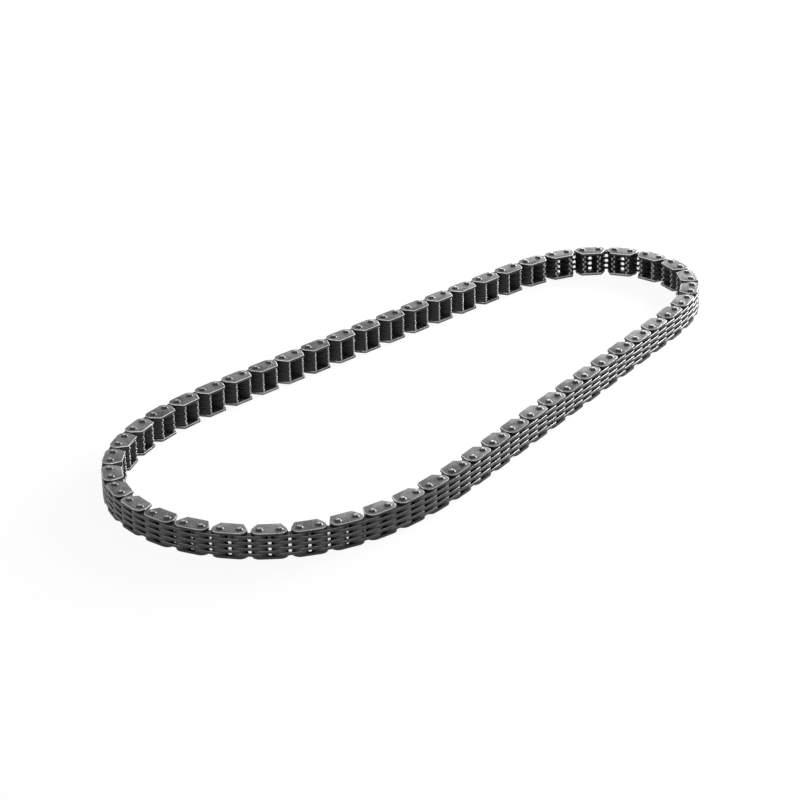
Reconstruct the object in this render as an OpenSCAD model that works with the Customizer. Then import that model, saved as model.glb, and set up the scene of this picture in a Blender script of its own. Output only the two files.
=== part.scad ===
// Silent timing chain: an endless riveted loop of toothed plates with guide plates outside.
// It lies flat, with its pins upright and its long axis along X, and stands on its rivet heads.

/* [Pitch] */
// Distance between neighbouring pins
pitch = 6.35; // [5:0.05:10]

/* [Loop shape] */
// Pins from the middle of the wide end to the middle of its fading bend
wide_bend_pins = 14; // [11:0.5:18]
// Pins from the middle of the narrow end to the middle of its fading bend
narrow_bend_pins = 7.75; // [6:0.25:10]
// Share of each bend over which it fades into the straight runs
bend_fade = 0.65; // [0.4:0.05:0.9]

/* [Plate outline] */
// Radius of a plate's round end about its pin
end_radius = 2.7; // [2.3:0.05:2.9]
// Reach of the teeth and of the guide plates, from the pin line
tooth_depth = 4.2; // [3.6:0.1:5]
// Slope of a plate's outer flanks, in degrees from square to the pin line
flank_angle = 30; // [26:1:32]
// Radius of a tooth's rounded tip
tip_radius = 0.4; // [0.2:0.05:0.5]
// Radius at the root of the crotch between the two teeth
crotch_radius = 0.9; // [0.6:0.05:1]
// Height of the crotch's root above the pin line, towards the tips
crotch_root = 0.1; // [-0.3:0.05:0.6]
// Radius of a guide plate's inner corners
corner_radius = 0.35; // [0.1:0.05:0.6]

/* [Plate stack] */
// Thickness of a toothed plate
toothed_plate = 1; // [0.7:0.05:1.6]
// Thickness of a guide plate
guide_plate = 1; // [0.7:0.05:1.6]
// Toothed plates in each pin link, between the two guide plates
pin_link_rows = 3; // [2:1:5]
// Free play between neighbouring plates
side_play = 0.03; // [0.02:0.01:0.08]

/* [Pins] */
// Diameter of a pin's shank
pin_diameter = 2.3; // [1.8:0.05:2.6]
// Clearance between a pin and the plates that swing on it, on the radius
running_clearance = 0.04; // [0.02:0.01:0.08]
// Gap between a pin and the plates held fast on it, on the radius and under its heads
seat_gap = 0.01; // [0.005:0.005:0.02]
// Diameter of a riveted head
head_diameter = 2.7; // [2.6:0.05:3.4]
// Height of a riveted head above its guide plate
head_height = 0.6; // [0.3:0.05:0.9]
// Radius round the edge of a riveted head
head_edge = 0.35; // [0.1:0.05:0.4]

/* [Hidden] */
$fn = 48;
// Each side of the loop has this many links that pivot; the two end links close it.
side_links = 25;
// Pins on one side of the loop, from the middle of the wide end to that of the narrow end
side_pins = 2 * side_links + 2;

guide_steel = "#7d7d7f";
toothed_steel = "#5a5a5c";
pin_steel = "#8b8b8e";

row_step = toothed_plate + side_play;
rows = 2 * pin_link_rows + 1;
bottom_guide_z = head_height + seat_gap;
first_row_z = bottom_guide_z + guide_plate + side_play;
top_guide_z = first_row_z + rows * row_step;
pin_length = top_guide_z + guide_plate + seat_gap - head_height;
held_bore = pin_diameter / 2 + seat_gap;
swinging_bore = pin_diameter / 2 + running_clearance;

// The loop turns most at its two ends. Each end's share of the half turn fades out along the runs.
function fade(u) = u < 1 - bend_fade ? 1
    : u > 1 + bend_fade ? 0
    : (1 + cos(90 * (u - 1 + bend_fade) / bend_fade)) / 2;
function total(list) = list * [for (item = list) 1];
wide_weights = [for (j = [0.5 : side_pins]) fade(j / wide_bend_pins)];
narrow_weights = [for (j = [0.5 : side_pins]) fade((side_pins - j) / narrow_bend_pins)];
wide_total = total(wide_weights);
narrow_total = total(narrow_weights);

// Degrees that the chain turns at each pin of the near side, when the wide end has this share of them
function turns(share) = [for (j = [0 : side_pins - 1])
    180 * (share * wide_weights[j] / wide_total + (1 - share) * narrow_weights[j] / narrow_total)];
// Direction of the chain after each pin
function headings(turn) = [for (j = 0, a = turn[0] - 90; j < side_pins; j = j + 1,
    a = a + (j < side_pins ? turn[j] : 0)) a];
// Pin centres of the near side, with the middle of the wide end at the origin
function pins_along(heading) = [for (j = 0, p = [0, -pitch / 2]; j < side_pins;
    p = p + pitch * [cos(heading[j]), sin(heading[j])], j = j + 1) p];
// How far the last pin lies from its place, half a pitch below the long axis
function miss(share) = pins_along(headings(turns(share)))[side_pins - 1].y + pitch / 2;
// The wide end's share that closes the loop, by halving the interval that holds it
function closing_share(low = 0.3, high = 0.8, halvings = 40) = halvings <= 0 ? (low + high) / 2
    : miss((low + high) / 2) > 0 ? closing_share(low, (low + high) / 2, halvings - 1)
    : closing_share((low + high) / 2, high, halvings - 1);

heading = headings(turns(closing_share()));
loop_pins = pins_along(heading);
loop_length = loop_pins[side_pins - 1].x;

function two_digits(i) = i < 10 ? str("0", i) : str(i);
function link_name(side, i) = str(side, "_link_", two_digits(i));

// Places a piece midway between two neighbouring pins of the near side, with its teeth inwards.
// Pin 0 of the near side is next to the middle of the wide end.
module between_pins(j) {
    middle = (loop_pins[j] + loop_pins[j + 1]) / 2;
    translate([middle.x - loop_length / 2, middle.y, 0])
        rotate(heading[j])
            children();
}

module wide_end() {
    translate([-loop_length / 2, 0, 0])
        rotate(-90)
            children();
}

module narrow_end() {
    translate([loop_length / 2, 0, 0])
        rotate(90)
            children();
}

module far_side() {
    mirror([0, 1, 0])
        children();
}

module at_both_pins() {
    for (side = [-1, 1])
        translate([side * pitch / 2, 0])
            children();
}

function unit(a) = [cos(a), sin(a)];
function mirrored(points) = [for (i = [len(points) - 1 : -1 : 0]) [-points[i].x, points[i].y]];

// Centre of a round corner that touches the line at tooth_depth and the flank that slopes in from foot
function corner_centre(foot, radius) =
    let (y = tooth_depth - radius)
    [foot.x - (y - foot.y) * tan(flank_angle) - radius / cos(flank_angle), y];

// The inner edge is straight, and the flanks touch the round ends.
module guide_outline() {
    foot = [pitch / 2 + end_radius * cos(flank_angle), end_radius * sin(flank_angle)];
    corner = corner_centre(foot, corner_radius);
    half = [
        [pitch / 2, -end_radius],
        foot,
        corner + corner_radius * unit(flank_angle),
        corner + [0, corner_radius]
    ];
    polygon(concat(half, mirrored(half)));
    at_both_pins()
        circle(end_radius);
    for (side = [-1, 1])
        translate([side * corner.x, corner.y])
            circle(corner_radius);
}

// The round ends of a toothed plate run from its back to the pin line.
module toothed_ends() {
    at_both_pins()
        intersection() {
            circle(end_radius);
            translate([-end_radius, -end_radius])
                square([2 * end_radius, end_radius]);
        }
}

// Two teeth hang from a straight back, with a round-rooted crotch between them. Their outer flanks start
// at the pin line, which centres each tooth on its pin.
module toothed_outline() {
    foot = [pitch / 2 + end_radius, 0];
    tip = corner_centre(foot, tip_radius);
    root = [0, crotch_root + crotch_radius];
    reach = tip - root;
    // The inner flank runs between the root circle and the tip circle and touches both.
    across = atan2(reach.y, reach.x) - acos((crotch_radius + tip_radius) / norm(reach));
    half = [
        [pitch / 2, -end_radius],
        foot,
        tip + tip_radius * unit(flank_angle),
        tip - tip_radius * unit(across),
        root + crotch_radius * unit(across)
    ];
    difference() {
        union() {
            polygon(concat(half, mirrored(half)));
            toothed_ends();
            for (side = [-1, 1])
                translate([side * tip.x, tip.y])
                    circle(tip_radius);
        }
        translate(root)
            circle(crotch_radius);
    }
}

module guide_pair() {
    color(guide_steel)
        for (z = [bottom_guide_z, top_guide_z])
            translate([0, 0, z])
                linear_extrude(guide_plate)
                    difference() {
                        guide_outline();
                        at_both_pins()
                            circle(held_bore);
                    }
}

module toothed_row(row, bore) {
    color(toothed_steel)
        translate([0, 0, first_row_z + row * row_step])
            linear_extrude(toothed_plate)
                difference() {
                    toothed_outline();
                    at_both_pins()
                        circle(bore);
                }
}

// The pin link's own toothed plates, held on its two pins
module pin_link_plates() {
    for (row = [1 : 2 : rows - 2])
        toothed_row(row, held_bore);
}

// The plates that join one pin link to the next and swing on their pins
module joint_pack() {
    for (row = [0 : 2 : rows - 1])
        toothed_row(row, swinging_bore);
}

module riveted_head() {
    radius = head_diameter / 2;
    rotate_extrude() {
        square([radius, head_height - head_edge]);
        square([radius - head_edge, head_height]);
        translate([radius - head_edge, head_height - head_edge])
            intersection() {
                circle(head_edge);
                square(head_edge);
            }
    }
}

module pin_pair() {
    color(pin_steel)
        at_both_pins() {
            translate([0, 0, head_height])
                cylinder(h = pin_length, d = pin_diameter);
            translate([0, 0, head_height + pin_length])
                riveted_head();
            translate([0, 0, head_height])
                mirror([0, 0, 1])
                    riveted_head();
        }
}

module pin_link() {
    guide_pair();
    pin_link_plates();
    pin_pair();
}

// Link i of the near side: the joint pack that reaches it from the wide end, then its pin link
module near_link(i) {
    between_pins(2 * i - 2)
        joint_pack();
    between_pins(2 * i - 1)
        pin_link();
}

module far_link(i) {
    far_side()
        near_link(i);
}

module wide_end_guide_plates() {
    wide_end()
        guide_pair();
}

module wide_end_toothed_plates() {
    wide_end()
        pin_link_plates();
}

module wide_end_pins() {
    wide_end()
        pin_pair();
}

module narrow_end_guide_plates() {
    narrow_end()
        guide_pair();
}

module narrow_end_toothed_plates() {
    narrow_end()
        pin_link_plates();
}

module narrow_end_pins() {
    narrow_end()
        pin_pair();
}

module narrow_end_joint_packs() {
    between_pins(side_pins - 2)
        joint_pack();
    far_side()
        between_pins(side_pins - 2)
            joint_pack();
}

wide_end_guide_plates();
wide_end_toothed_plates();
wide_end_pins();
for (i = [1 : side_links]) {
    near_link(i);
    far_link(i);
}
narrow_end_guide_plates();
narrow_end_toothed_plates();
narrow_end_pins();
narrow_end_joint_packs();
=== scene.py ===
import math

import bmesh
import bpy
from mathutils import Matrix, Vector


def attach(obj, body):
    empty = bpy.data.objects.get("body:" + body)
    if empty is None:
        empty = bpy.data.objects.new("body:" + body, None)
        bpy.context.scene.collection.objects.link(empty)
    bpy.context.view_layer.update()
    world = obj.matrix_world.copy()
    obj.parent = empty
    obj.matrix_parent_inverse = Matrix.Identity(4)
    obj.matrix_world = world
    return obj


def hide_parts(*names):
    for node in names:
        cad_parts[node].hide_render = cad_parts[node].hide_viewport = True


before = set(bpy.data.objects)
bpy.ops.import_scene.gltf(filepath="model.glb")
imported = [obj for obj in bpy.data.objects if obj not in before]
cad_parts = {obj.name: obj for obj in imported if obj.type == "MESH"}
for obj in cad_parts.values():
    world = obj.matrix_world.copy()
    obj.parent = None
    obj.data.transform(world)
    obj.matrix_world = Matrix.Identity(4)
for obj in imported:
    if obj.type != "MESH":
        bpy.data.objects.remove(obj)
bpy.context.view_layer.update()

# The loop
# The chain is an endless run of 104 pitches, laid flat as an egg with its wide end towards -X. Its plan is
# that of the part's source: each end's share of the half turn fades out along the two long runs.
mm = 0.001
pitch = 6.35 * mm
side_links = 25
side_pins = 2 * side_links + 2
wide_bend_pins = 14
narrow_bend_pins = 7.75
bend_fade = 0.65
halvings = 40


def fade(u):
    """How fully the chain bends at u, which is 0 in the middle of an end and 1 in the middle of its fade."""
    if u < 1 - bend_fade:
        return 1.0
    if u > 1 + bend_fade:
        return 0.0
    return (1 + math.cos(math.pi / 2 * (u - 1 + bend_fade) / bend_fade)) / 2


wide_weights = [fade((j + 0.5) / wide_bend_pins) for j in range(side_pins)]
narrow_weights = [fade((side_pins - j - 0.5) / narrow_bend_pins) for j in range(side_pins)]


def near_side(share):
    """Chain direction after each pin of the near side, and the pins' places. The wide end takes this share
    of the half turn, and the narrow end the rest."""
    angle, x, y = -math.pi / 2, 0.0, -pitch / 2
    directions, places = [], []
    for j in range(side_pins):
        angle += math.pi * (share * wide_weights[j] / sum(wide_weights)
                            + (1 - share) * narrow_weights[j] / sum(narrow_weights))
        directions.append(angle)
        places.append((x, y))
        x += pitch * math.cos(angle)
        y += pitch * math.sin(angle)
    return directions, places


# The loop closes where the last pin lies half a pitch below the long axis.
low_share, high_share = 0.3, 0.8
for _ in range(halvings):
    share = (low_share + high_share) / 2
    directions, places = near_side(share)
    if places[-1][1] + pitch / 2 > 0:
        high_share = share
    else:
        low_share = share
loop_length = places[-1][0]


def between_pins(j, side):
    """Middle and turn of a plate between pins j and j + 1, with its teeth inwards."""
    (ax, ay), (bx, by) = places[j], places[j + 1]
    x, y = (ax + bx) / 2 - loop_length / 2, (ay + by) / 2
    return (x, y, directions[j]) if side == "near" else (x, -y, math.pi - directions[j])


# The guide plates
# 104 stamped steel plates lie outside the toothed ones, pressed on the pins of every second pitch. Blanking
# rolls their edges over, and tumbling leaves the faces matt and grainy and the edges bright. The upper rims
# are painted brighter still as highlight, and the upper plates' sides and undersides and the lower plates'
# outsides are painted black as shade.
guide_thickness = 1.0 * mm
end_radius = 2.7 * mm
tooth_depth = 4.2 * mm
flank_degrees = 30
flank = math.radians(flank_degrees)
guide_corner = 0.35 * mm
guide_roll = 0.2 * mm
# The roll is two facets that meet this far in from the broad face and from the side.
roll_middle = 0.3 * guide_roll
# Rivet heads and pins fill the bores, so few sides are enough.
bore_radius = 1.3 * mm
bore_sides = 8
# Lengths that differ by less than this are equal.
tiny = 1e-9
# Each face carries the number of its finish, and the links' tree turns the numbers into materials.
# Some finishes also paint light: the black one paints shade under and beside other parts, bright upper edges
# paint highlight, and the rivets' black coat paints shade round their heads.
(TUMBLED, POLISHED_EDGE_AND_HIGHLIGHT, ROLLED_EDGE_HIGHLIGHT_AND_SHADE, RUBBED_FACE, BLACKENED_AND_SHADE,
 RUBBED_BACK, WORN_EDGE_AND_HIGHLIGHT, WORN_TIP, RIVET_END, HEAD_SHADE) = range(10)


def arc(centre, radius, start, end, steps):
    """Points on an arc, both ends included, with angles in degrees."""
    angles = [math.radians(start + (end - start) * k / steps) for k in range(steps + 1)]
    return [(centre[0] + radius * math.cos(a), centre[1] + radius * math.sin(a)) for a in angles]


def corner_centre(foot, radius):
    """Centre of a corner that touches the line at tooth_depth and the flank that slopes in from foot."""
    y = tooth_depth - radius
    return foot[0] - (y - foot[1]) * math.tan(flank) - radius / math.cos(flank), y


def whole_outline(half):
    """Closes the half outline on +X with its mirror image, and leaves out a middle point given twice."""
    mirror = [(-x, y) for x, y in reversed(half)]
    return half + (mirror[1:] if abs(half[-1][0]) < tiny else mirror)


def inset(outline, distance):
    """The outline moved inwards by a small distance, square to its edges. Sharp corners move further, up to
    a limit."""
    least_lean = 0.3
    count = len(outline)
    moved = []
    for k in range(count):
        before, here, after = (Vector(outline[(k + step) % count]) for step in (-1, 0, 1))
        first, second = (here - before).normalized(), (after - here).normalized()
        inward = Vector((-first.y - second.y, first.x + second.x)).normalized()
        lean = max(least_lean, inward.dot(Vector((-second.y, second.x))))
        moved.append(here + inward * distance / lean)
    return moved


def plate_mesh(name, outline, rings, face_finishes, edge_finish):
    """A flat plate with two bores. rings are (height, inset). Each broad face is split along the pin line:
    face_finishes has a pair for the lower and one for the upper face, the teeth half before the back half.
    edge_finish gives the finish of an edge's face from its middle and whether it slopes up."""
    bm = bmesh.new()
    finish = bm.faces.layers.int.new("finish")
    loops = [[bm.verts.new((x, y, z)) for x, y in inset(outline, distance)] for z, distance in rings]
    count = len(outline)
    for k in range(len(rings) - 1):
        slopes_up = rings[k + 1][1] - rings[k][1] > tiny
        for a in range(count):
            b = (a + 1) % count
            face = bm.faces.new((loops[k][a], loops[k][b], loops[k + 1][b], loops[k + 1][a]))
            face.smooth = True
            x, y = ((outline[a][axis] + outline[b][axis]) / 2 for axis in (0, 1))
            face[finish] = edge_finish(x, y, slopes_up)
    bores = []
    for side in (-1, 1):
        circle = arc((side * pitch / 2, 0), bore_radius, 0, 360, bore_sides)[:-1]
        ends = [[bm.verts.new((x, y, z)) for x, y in circle] for z in (rings[0][0], rings[-1][0])]
        for a in range(bore_sides):
            b = (a + 1) % bore_sides
            bm.faces.new((ends[0][b], ends[0][a], ends[1][a], ends[1][b]))[finish] = BLACKENED_AND_SHADE
        bores.append(ends)
    on_line = [k for k in range(count) if abs(outline[k][1]) < tiny]
    right_end, left_end = sorted(on_line, key=lambda k: -outline[k][0])
    half_bore = bore_sides // 2
    # Each half of a broad face runs round its half of the outline and back along its side of the bores.
    for level, loop in ((0, loops[0]), (1, loops[-1])):
        left, right = bores[0][level], bores[1][level]
        teeth = loop[right_end:left_end + 1]
        back = loop[left_end:] + loop[:right_end + 1]
        over = left[half_bore::-1] + right[half_bore::-1]
        under = (right[half_bore:] + right[:1])[::-1] + (left[half_bore:] + left[:1])[::-1]
        for half_finish, corners in zip(face_finishes[level], (teeth + over, back + under)):
            bm.faces.new(corners if level else corners[::-1])[finish] = half_finish
    bm.normal_update()
    mesh = bpy.data.meshes.new(name)
    bm.to_mesh(mesh)
    bm.free()
    return mesh


round_foot = (pitch / 2 + end_radius * math.cos(flank), end_radius * math.sin(flank))
guide_outline = whole_outline(
    arc((pitch / 2, 0), end_radius, -90, flank_degrees, steps=8)
    + arc(corner_centre(round_foot, guide_corner), guide_corner, flank_degrees, 90, steps=3))
guide_rings = [(0, guide_roll), (roll_middle, roll_middle), (guide_roll, 0),
               (guide_thickness - guide_roll, 0), (guide_thickness - roll_middle, roll_middle),
               (guide_thickness, guide_roll)]


def upper_guide_edge(x, y, slopes_up):
    """Sides and lower rim painted black as shade. The upper rim is bright, partly from tumbling and partly
    as painted highlight, and painted duller outside as shade.
    """
    if not slopes_up:
        return BLACKENED_AND_SHADE
    return POLISHED_EDGE_AND_HIGHLIGHT if y > 0 else ROLLED_EDGE_HIGHLIGHT_AND_SHADE


def lower_guide_edge(x, y, slopes_up):
    """Inside, a rim bright partly from tumbling and partly as painted highlight, over tumbled sides.
    Outside, black all over as painted shade.
    """
    if y > 0:
        return POLISHED_EDGE_AND_HIGHLIGHT if slopes_up else TUMBLED
    return BLACKENED_AND_SHADE


# The upper plate's underside is painted black as shade. The lower plate's top is rubbed bright along its
# back half.
upper_guide_mesh = plate_mesh("upper_guide_plate", guide_outline, guide_rings,
                              ((BLACKENED_AND_SHADE, BLACKENED_AND_SHADE), (TUMBLED, TUMBLED)), upper_guide_edge)
lower_guide_mesh = plate_mesh("lower_guide_plate", guide_outline, guide_rings,
                              ((TUMBLED, TUMBLED), (TUMBLED, RUBBED_FACE)), lower_guide_edge)


def linear(colour):
    """Linear RGBA of an sRGB hex colour such as #a0a0a0."""
    parts = [int(colour[k:k + 2], 16) / 255 for k in (1, 3, 5)]
    return [c / 12.92 if c <= 0.04045 else ((c + 0.055) / 1.055) ** 2.4 for c in parts] + [1.0]


def add(tree, kind, settings=None, links=None):
    """Adds a node. A setting is a property of the node or else the value of an input socket."""
    node = tree.nodes.new(kind)
    for key, value in (settings or {}).items():
        if isinstance(key, str) and hasattr(node, key):
            setattr(node, key, value)
        else:
            node.inputs[key].default_value = value
    for key, source in (links or {}).items():
        tree.links.new(source, node.inputs[key])
    return node


def steel(name, dark, light, rough, grain, bump, stretch=(1, 1, 1), metallic=1.0):
    """A steel finish. The tone varies between two colours and the roughness between two values, with a grain
    of this size in metres. The tone also varies in larger patches and from plate to plate."""
    patch = 12 * grain
    grain_share, plate_share = 2.0, 0.3
    # The sum of the three tones and the fine noise alone hardly ever go past these limits.
    tone_low, tone_high = 1.25, 2.05
    noise_low, noise_high = 0.3, 0.7
    relief_depth = 0.05 * mm
    material = bpy.data.materials.new(name)
    material.use_nodes = True
    tree = material.node_tree
    shader = tree.nodes["Principled BSDF"]
    shader.inputs["Metallic"].default_value = metallic
    place = add(tree, "ShaderNodeTexCoord")
    scaled = add(tree, "ShaderNodeMapping", {"Scale": stretch}, {"Vector": place.outputs["Object"]})
    fine = add(tree, "ShaderNodeTexNoise", {"Scale": 1 / grain, "Detail": 2.0, "Roughness": 0.6},
               {"Vector": scaled.outputs["Vector"]})
    patches = add(tree, "ShaderNodeTexNoise", {"Scale": 1 / patch, "Detail": 2.0},
                  {"Vector": scaled.outputs["Vector"]})
    shade = add(tree, "ShaderNodeAttribute", {"attribute_name": "plate_shade"})
    tone = add(tree, "ShaderNodeMath", {"operation": "MULTIPLY_ADD", 1: plate_share},
               {0: shade.outputs["Fac"], 2: patches.outputs["Fac"]})
    mixed = add(tree, "ShaderNodeMath", {"operation": "MULTIPLY_ADD", 1: grain_share},
                {0: fine.outputs["Fac"], 2: tone.outputs["Value"]})
    spread = add(tree, "ShaderNodeMapRange", {"From Min": tone_low, "From Max": tone_high},
                 {"Value": mixed.outputs["Value"]})
    # Inputs 6 and 7 of this node are the colours to mix, and output 2 is the mixed colour.
    colour = add(tree, "ShaderNodeMix", {"data_type": "RGBA", 6: linear(dark), 7: linear(light)},
                 {0: spread.outputs["Result"]})
    tree.links.new(colour.outputs[2], shader.inputs["Base Color"])
    rough_map = add(tree, "ShaderNodeMapRange", {"From Min": noise_low, "From Max": noise_high,
                                                "To Min": rough[0], "To Max": rough[1]},
                    {"Value": fine.outputs["Fac"]})
    tree.links.new(rough_map.outputs["Result"], shader.inputs["Roughness"])
    relief = add(tree, "ShaderNodeBump", {"Strength": bump, "Distance": relief_depth},
                 {"Height": fine.outputs["Fac"]})
    tree.links.new(relief.outputs["Normal"], shader.inputs["Normal"])
    return material


# Tumbled steel: an even satin grey with a fine grain, drawn at 0.45 mm so that it shows.
tumbled_steel = steel("tumbled_steel", "#2c2c2c", "#8a8a8a", rough=(0.4, 0.54), grain=0.45 * mm, bump=1.0)
# Rolled-over edges that tumbling polishes bright. Laid only on upper edges, the tips' too, it also paints
# highlight.
polished_edge = steel("polished_edge", "#b8b8b8", "#f0f0f0", rough=(0.2, 0.3), grain=0.4 * mm, bump=0.1)
# The same edges on the outside, painted duller as shade.
rolled_edge = steel("rolled_edge", "#8c8c8c", "#c0c0c0", rough=(0.2, 0.3), grain=0.4 * mm, bump=0.1)

# The toothed plates
# 364 inverted-tooth plates carry the load: two teeth hang inwards with a round crotch between them. Their
# hardened edges are dark and their undersides are painted dark as shade. The upper edges of tips and backs
# are painted lighter as highlight, and the upper faces are rubbed bright by their neighbours.
plate_thickness = 1.0 * mm
plate_chamfer = 0.08 * mm
tip_radius = 0.4 * mm
crotch_radius = 0.9 * mm
crotch_root = 0.1 * mm
tip = corner_centre((pitch / 2 + end_radius, 0), tip_radius)
root = (0, crotch_root + crotch_radius)
# A tooth's inner flank touches the circles of the tip and of the crotch, and across is the way it faces.
reach = Vector(tip) - Vector(root)
touching = math.acos((crotch_radius + tip_radius) / reach.length)
across = math.degrees(math.atan2(reach.y, reach.x) - touching)
toothed_outline = whole_outline(
    arc((pitch / 2, 0), end_radius, -90, 0, steps=4)
    + arc(tip, tip_radius, flank_degrees, 180 + across, steps=4)
    + arc(root, crotch_radius, across, -90, steps=3))
toothed_rings = [(0, plate_chamfer), (plate_chamfer, 0), (plate_thickness - plate_chamfer, 0),
                 (plate_thickness, plate_chamfer)]
# A guide rail rubs the back as far out as this, a little past the pins.
rubbed_reach = pitch / 2 + 0.3 * end_radius


def toothed_edge(x, y, slopes_up):
    """The tips wear against the sprocket and the back against the guide rails. Their upper edges are painted
    lighter still as highlight. The flanks, the crotch and the round ends stay dark."""
    if y > tip[1]:
        return POLISHED_EDGE_AND_HIGHLIGHT if slopes_up else WORN_TIP
    if y > 0 or abs(x) > rubbed_reach:
        return BLACKENED_AND_SHADE
    return WORN_EDGE_AND_HIGHLIGHT if slopes_up else RUBBED_BACK


# The undersides are painted black as shade.
toothed_mesh = plate_mesh("toothed_plate", toothed_outline, toothed_rings,
                          ((BLACKENED_AND_SHADE, BLACKENED_AND_SHADE), (RUBBED_FACE, RUBBED_FACE)), toothed_edge)
# The top plate of each joint pack lies open between two guide plates. Its upper face is painted black as the
# shade under the guide plates, like its underside.
top_mesh = plate_mesh("top_toothed_plate", toothed_outline, toothed_rings,
                      ((BLACKENED_AND_SHADE, BLACKENED_AND_SHADE), (BLACKENED_AND_SHADE, BLACKENED_AND_SHADE)), toothed_edge)
# Hardened steel, blackened by its heat treatment, with faint upright lines from the blanking punch. The dark
# oxide scatters light as a matt coat does, so these finishes are hardly metallic.
# On undersides, on the guide plates' sides and outsides and on the top joint plates, this finish is painted
# shade, not oxide.
blackened_steel = steel("blackened_steel", "#1c1c1c", "#303030", rough=(0.4, 0.55), grain=0.3 * mm, bump=0.3,
                        stretch=(1, 1, 0.12), metallic=0.1)
# The same on the backs, rubbed paler by the guide rails.
rubbed_back = steel("rubbed_back", "#444444", "#5c5c5c", rough=(0.4, 0.5), grain=0.3 * mm, bump=0.2,
                    stretch=(1, 1, 0.12), metallic=0.0)
# The upper edges of the backs, rubbed by the guide rails and painted lighter as highlight.
worn_edge = steel("worn_edge", "#6a6a6a", "#929292", rough=(0.2, 0.3), grain=0.4 * mm, bump=0.1)
# The rounded tips, where the sprocket has rubbed most of the oxide off.
worn_tip = steel("worn_tip", "#949494", "#c0c0c0", rough=(0.3, 0.4), grain=0.4 * mm, bump=0.1, metallic=0.3)
# Plate faces that slide on each other and come out as bright as a mirror.
rubbed_face = steel("rubbed_face", "#d0d0d0", "#f0f0f0", rough=(0.08, 0.14), grain=0.5 * mm, bump=0.02)

# The rivets
# 104 ground steel pins go through the whole stack. Each end is spun over into a low cone on its guide plate,
# with a rounded shoulder and a smooth flat end, a little lighter than the plate.
pin_radius = 1.15 * mm
head_radius = 1.35 * mm
head_height = 0.6 * mm
flat_radius = 0.65 * mm
# The shoulder comes down to each of these radii at a slope in degrees. The rest is the cone.
shoulder = [(0.8 * mm, 20), (1.0 * mm, 40), (1.2 * mm, 47)]
rivet_sides = 20
seat_gap = 0.01 * mm
side_play = 0.03 * mm
rows = 7
row_step = plate_thickness + side_play
lower_guide = head_height + seat_gap
first_row = lower_guide + guide_thickness + side_play
upper_guide = first_row + rows * row_step
chain_height = upper_guide + guide_thickness + seat_gap + head_height
lower_profile = [(flat_radius, 0.0)]
for radius, slope in shoulder:
    before, depth = lower_profile[-1]
    lower_profile.append((radius, depth + (radius - before) * math.tan(math.radians(slope))))
lower_profile += [(head_radius, head_height), (pin_radius, head_height)]
rivet_profile = lower_profile + [(r, chain_height - z) for r, z in reversed(lower_profile)]
bm = bmesh.new()
finish = bm.faces.layers.int.new("finish")
rounds = []
for radius, height in rivet_profile:
    circle = arc((0, 0), radius, 0, 360, rivet_sides)[:-1]
    rounds.append([bm.verts.new((x, y, height)) for x, y in circle])
# All faces but the flat ends get the black coat that paints shade round the heads.
for lower, upper in zip(rounds, rounds[1:]):
    for a in range(rivet_sides):
        b = (a + 1) % rivet_sides
        bm.faces.new((lower[a], lower[b], upper[b], upper[a]))[finish] = HEAD_SHADE
bm.faces.new(rounds[0][::-1])[finish] = RIVET_END
bm.faces.new(rounds[-1])[finish] = RIVET_END
for face in bm.faces:
    face.smooth = True
rivet_mesh = bpy.data.meshes.new("riveted_pin")
bm.to_mesh(rivet_mesh)
bm.free()
# Ground and spun steel, lightly oiled and smoother than the plates.
rivet_steel = steel("rivet_steel", "#8c8c8c", "#b4b4b4", rough=(0.22, 0.32), grain=0.5 * mm, bump=0.08)
# A black, glossy coat on the foot of the head, its shoulder and cone, that paints the shade round each head.
oily_foot = steel("oily_foot", "#080808", "#141414", rough=(0.14, 0.2), grain=0.5 * mm, bump=0.1,
                  metallic=0.0)

# The links
# Each moving unit is a pin link (guide plates, three toothed plates, two pins) and the pack of four joint
# plates before it. One tree stacks them at two marked points, and every link and end is made by it.
link_tree = bpy.data.node_groups.new("link_stack", "GeometryNodeTree")
link_tree.interface.new_socket("Geometry", in_out="OUTPUT", socket_type="NodeSocketGeometry")
for kind, labels in (
        ("Geometry", ("Geometry",)),
        ("Object", ("Upper guide plate", "Lower guide plate", "Toothed plate", "Top toothed plate",
                    "Riveted pin")),
        ("Int", ("Guide pairs", "Link plates", "Pins", "Joint plates", "Top joint plates", "Seed")),
        ("Float", ("Row step", "First row", "Last row", "Lower guide", "Upper guide", "Pitch"))):
    for label in labels:
        link_tree.interface.new_socket(label, in_out="INPUT", socket_type="NodeSocket" + kind)
given = add(link_tree, "NodeGroupInput").outputs
named = [add(link_tree, "GeometryNodeInputNamedAttribute", {"data_type": kind, "Name": label})
         for kind, label in (("FLOAT", "turn"), ("BOOLEAN", "joint_pack"), ("INT", "finish"))]
turn, is_pack, face_number = (node.outputs["Attribute"] for node in named)
is_link = add(link_tree, "FunctionNodeBooleanMath", {"operation": "NOT"}, {0: is_pack}).outputs["Boolean"]
double_step = add(link_tree, "ShaderNodeMath", {"operation": "MULTIPLY", 1: 2.0},
                  {0: given["Row step"]}).outputs["Value"]
second_row = add(link_tree, "ShaderNodeMath", {"operation": "ADD"},
                 {0: given["First row"], 1: given["Row step"]}).outputs["Value"]
half_back = add(link_tree, "ShaderNodeMath", {"operation": "MULTIPLY", 1: -0.5},
                {0: given["Pitch"]}).outputs["Value"]
spin = add(link_tree, "ShaderNodeCombineXYZ", links={"Z": turn}).outputs["Vector"]
stacks = []
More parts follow.
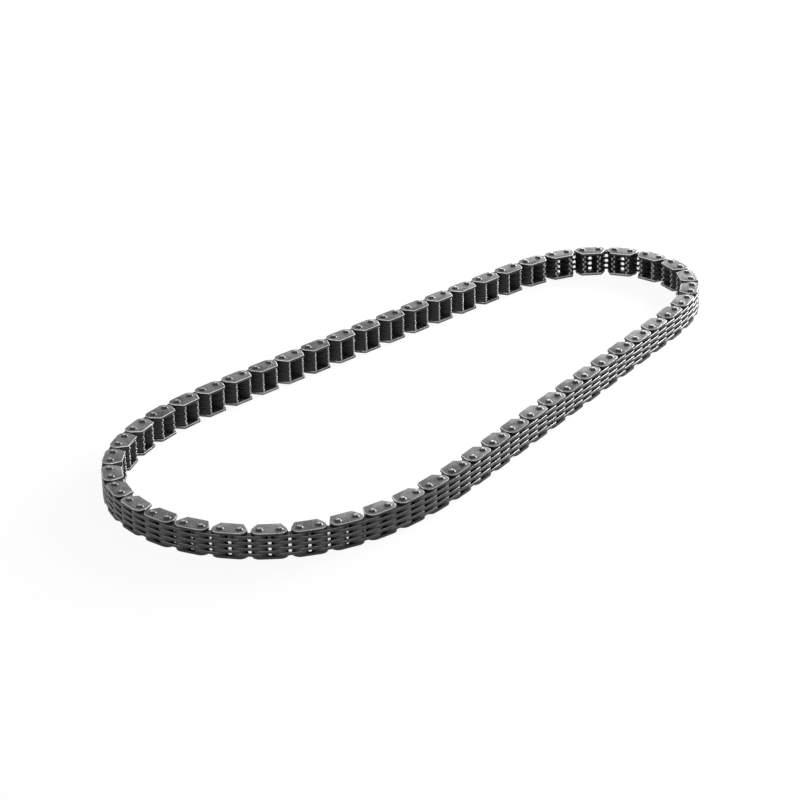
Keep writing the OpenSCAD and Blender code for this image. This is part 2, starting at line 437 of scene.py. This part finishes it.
for piece, amount, chosen, step, start, axis in (
        ("Upper guide plate", "Guide pairs", is_link, double_step, given["Upper guide"], "Z"),
        ("Lower guide plate", "Guide pairs", is_link, double_step, given["Lower guide"], "Z"),
        ("Toothed plate", "Link plates", is_link, double_step, second_row, "Z"),
        ("Toothed plate", "Joint plates", is_pack, double_step, given["First row"], "Z"),
        ("Top toothed plate", "Top joint plates", is_pack, double_step, given["Last row"], "Z"),
        ("Riveted pin", "Pins", is_link, given["Pitch"], half_back, "X")):
    copies = add(link_tree, "GeometryNodeDuplicateElements", {"domain": "POINT"},
                 {"Geometry": given["Geometry"], "Selection": chosen, "Amount": given[amount]})
    along = add(link_tree, "ShaderNodeMath", {"operation": "MULTIPLY_ADD"},
                {0: copies.outputs["Duplicate Index"], 1: step, 2: start})
    offset = add(link_tree, "ShaderNodeCombineXYZ", links={axis: along.outputs["Value"]})
    turned = add(link_tree, "ShaderNodeVectorRotate", {"rotation_type": "Z_AXIS"},
                 {"Vector": offset.outputs["Vector"], "Angle": turn})
    placed = add(link_tree, "GeometryNodeSetPosition", links={"Geometry": copies.outputs["Geometry"],
                                                              "Offset": turned.outputs["Vector"]})
    shape = add(link_tree, "GeometryNodeObjectInfo", links={"Object": given[piece]})
    stacks.append(add(link_tree, "GeometryNodeInstanceOnPoints", links={
        "Points": placed.outputs["Geometry"], "Instance": shape.outputs["Geometry"], "Rotation": spin}))
joined = add(link_tree, "GeometryNodeJoinGeometry")
for stack in reversed(stacks):
    link_tree.links.new(stack.outputs["Instances"], joined.inputs["Geometry"])
# Output 1 of this node is the random number from 0 to 1, one per plate or pin.
chance = add(link_tree, "FunctionNodeRandomValue", {"data_type": "FLOAT"}, {"Seed": given["Seed"]})
shaded = add(link_tree, "GeometryNodeStoreNamedAttribute",
             {"data_type": "FLOAT", "domain": "INSTANCE", "Name": "plate_shade"},
             {"Geometry": joined.outputs["Geometry"], "Value": chance.outputs[1]})
solid = add(link_tree, "GeometryNodeRealizeInstances", links={"Geometry": shaded.outputs["Geometry"]})
result = solid.outputs["Geometry"]
# Inputs 2 and 3 of the comparison are its whole numbers.
for number, material in (
        (TUMBLED, tumbled_steel), (POLISHED_EDGE_AND_HIGHLIGHT, polished_edge), (ROLLED_EDGE_HIGHLIGHT_AND_SHADE, rolled_edge),
        (RUBBED_FACE, rubbed_face), (BLACKENED_AND_SHADE, blackened_steel), (RUBBED_BACK, rubbed_back),
        (WORN_EDGE_AND_HIGHLIGHT, worn_edge), (WORN_TIP, worn_tip), (RIVET_END, rivet_steel), (HEAD_SHADE, oily_foot)):
    same = add(link_tree, "FunctionNodeCompare", {"data_type": "INT", "operation": "EQUAL", 3: number},
               {2: face_number})
    result = add(link_tree, "GeometryNodeSetMaterial", {"Material": material},
                 {"Geometry": result, "Selection": same.outputs["Result"]}).outputs["Geometry"]
add(link_tree, "NodeGroupOutput", links={"Geometry": result})

masters = {}
for label, mesh in (("Upper guide plate", upper_guide_mesh), ("Lower guide plate", lower_guide_mesh),
                    ("Toothed plate", toothed_mesh), ("Top toothed plate", top_mesh),
                    ("Riveted pin", rivet_mesh)):
    masters[label] = bpy.data.objects.new("master_" + mesh.name, mesh)
    bpy.context.scene.collection.objects.link(masters[label])
levels = {"Row step": row_step, "First row": first_row, "Last row": first_row + (rows - 1) * row_step,
          "Lower guide": lower_guide, "Upper guide": upper_guide, "Pitch": pitch}
inputs = [item for item in link_tree.interface.items_tree if item.in_out == "INPUT"]
sockets = {item.name: item.identifier for item in inputs}
sharp_above = math.radians(38)


def build_stack(node, body, marks, amounts, seed):
    """Stacks a node's plates and pins at its marks (x, y, turn, joint pack or not) and dresses the node.
    What amounts doesn't name stays at none."""
    base = bpy.data.meshes.new("marks")
    base.from_pydata([(x, y, 0) for x, y, _, _ in marks], [], [])
    base.attributes.new("turn", "FLOAT", "POINT").data.foreach_set("value", [m[2] for m in marks])
    base.attributes.new("joint_pack", "BOOLEAN", "POINT").data.foreach_set("value", [m[3] for m in marks])
    marked = bpy.data.objects.new("marks", base)
    bpy.context.scene.collection.objects.link(marked)
    modifier = marked.modifiers.new("link_stack", "NODES")
    modifier.node_group = link_tree
    for label, value in {**masters, **levels, **amounts, "Seed": seed}.items():
        modifier[sockets[label]] = value
    graph = bpy.context.evaluated_depsgraph_get()
    mesh = bpy.data.meshes.new_from_object(marked.evaluated_get(graph))
    bpy.data.objects.remove(marked)
    mesh.set_sharp_from_angle(angle=sharp_above)
    mesh.name = node + "_finished"
    piece = bpy.data.objects.new(node + "_finished", mesh)
    bpy.context.scene.collection.objects.link(piece)
    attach(piece, body)
    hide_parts(node)


link_amounts = {"Guide pairs": 1, "Link plates": 3, "Pins": 2}
pack_amounts = {"Joint plates": 3, "Top joint plates": 1}
for side in ("near", "far"):
    for i in range(1, side_links + 1):
        name = f"{side}_link_{i:02d}"
        marks = [(*between_pins(2 * i - 2, side), True), (*between_pins(2 * i - 1, side), False)]
        build_stack(name, name, marks, {**link_amounts, **pack_amounts},
                    seed=2 * i + (side == "far"))

# The two end links
# The pin link in the middle of each end is the same stack. The narrow one also has the two joint packs that
# close the loop.
wide_place = (-loop_length / 2, 0, -math.pi / 2)
narrow_place = (loop_length / 2, 0, math.pi / 2)
for body, place, seed in (("wide_end", wide_place, 101), ("narrow_end", narrow_place, 102)):
    for kind, slot, label in (("guide_plates", "guide_steel", "Guide pairs"),
                              ("toothed_plates", "toothed_steel", "Link plates"),
                              ("pins", "pin_steel", "Pins")):
        build_stack(f"{body}_{kind}", body, [(*place, False)], {label: link_amounts[label]}, seed)
packs = [(*between_pins(side_pins - 2, side), True) for side in ("near", "far")]
build_stack("narrow_end_joint_packs", "narrow_end", packs, pack_amounts, seed=103)
for master in masters.values():
    bpy.data.objects.remove(master)

# The floor
# A pale matt board under the chain, which lies loose on it. Eyes and polished metal see the board white,
# with the chain's soft shadow.
floor_size = 3.0
floor_glow = 0.92


def seen_directly(tree):
    """1 for the rays by which a thing is seen, also in polished metal, and 0 for those that only light."""
    path = add(tree, "ShaderNodeLightPath").outputs
    seen = path["Is Camera Ray"]
    for ray in ("Is Glossy Ray", "Is Transmission Ray"):
        larger = add(tree, "ShaderNodeMath", {"operation": "MAXIMUM"}, {0: seen, 1: path[ray]})
        seen = larger.outputs["Value"]
    return seen


bpy.ops.mesh.primitive_plane_add(size=floor_size)
floor = bpy.context.object
floor.name = "floor"
board = bpy.data.materials.new("pale_board")
board.use_nodes = True
tree = board.node_tree
tree.nodes.clear()
matt = add(tree, "ShaderNodeBsdfDiffuse", {"Color": linear("#eeeeee")})
glow = add(tree, "ShaderNodeEmission", {"Color": linear("#ffffff"), "Strength": floor_glow})
dim = add(tree, "ShaderNodeBsdfDiffuse", {"Color": linear("#808080")})
white = add(tree, "ShaderNodeAddShader", links={0: dim.outputs["BSDF"], 1: glow.outputs["Emission"]})
either = add(tree, "ShaderNodeMixShader", links={0: seen_directly(tree), 1: matt.outputs["BSDF"],
                                                 2: white.outputs["Shader"]})
add(tree, "ShaderNodeOutputMaterial", links={"Surface": either.outputs["Shader"]})
floor.data.materials.append(board)

# The light
# A white studio: a backdrop that is seen white but gives only weak all-round light, a large low softbox
# beyond the right-hand end and one behind.
room_light = 0.18
world = bpy.data.worlds.new("white_studio")
bpy.context.scene.world = world
world.use_nodes = True
tree = world.node_tree
tree.nodes.clear()
level = add(tree, "ShaderNodeMapRange", {"To Min": room_light, "To Max": 1.0},
            {"Value": seen_directly(tree)})
backdrop = add(tree, "ShaderNodeBackground", {"Color": linear("#ffffff")},
               {"Strength": level.outputs["Result"]})
add(tree, "ShaderNodeOutputWorld", links={"Surface": backdrop.outputs["Background"]})


def softbox(name, place, aim, width, height, power):
    """A rectangular area light at a place, facing its aim."""
    data = bpy.data.lights.new(name, "AREA")
    data.shape = "RECTANGLE"
    data.size, data.size_y, data.energy = width, height, power
    lamp = bpy.data.objects.new(name, data)
    lamp.location = place
    lamp.rotation_euler = (Vector(aim) - Vector(place)).to_track_quat("-Z", "Y").to_euler()
    bpy.context.scene.collection.objects.link(lamp)


softbox("right_softbox", place=(0.64, -0.09, 0.2), aim=(0.05, -0.02, 0.0),
        width=0.5, height=0.3, power=6.0)
softbox("back_softbox", place=(0.93, 0.54, 0.23), aim=(0.0, 0.0, 0.0),
        width=0.36, height=0.2, power=0.9)

# The camera
# It stands 24.4 degrees above the floor, off the chain's wide end and near side, with a long lens. Its
# values were worked out from the even spacing of the pins.
aim = Vector((-0.0257707, -0.0070162, 0.01046))
back = Vector((-0.70413630, -0.57803974, 0.41238589)).normalized()
distance = 0.971843
roll = -0.0237146
across_view = Vector((0, 0, 1)).cross(back).normalized()
up_view = back.cross(across_view)
right = across_view * math.cos(roll) + up_view * math.sin(roll)
up = up_view * math.cos(roll) - across_view * math.sin(roll)
camera_data = bpy.data.cameras.new("camera")
camera_data.sensor_width = 36
camera_data.lens = 126.668
camera = bpy.data.objects.new("camera", camera_data)
bpy.context.scene.collection.objects.link(camera)
turned = Matrix((right, up, back)).transposed().to_4x4()
camera.matrix_world = Matrix.Translation(aim + back * distance) @ turned
bpy.context.scene.camera = camera
bpy.context.scene.view_settings.view_transform = "Standard"
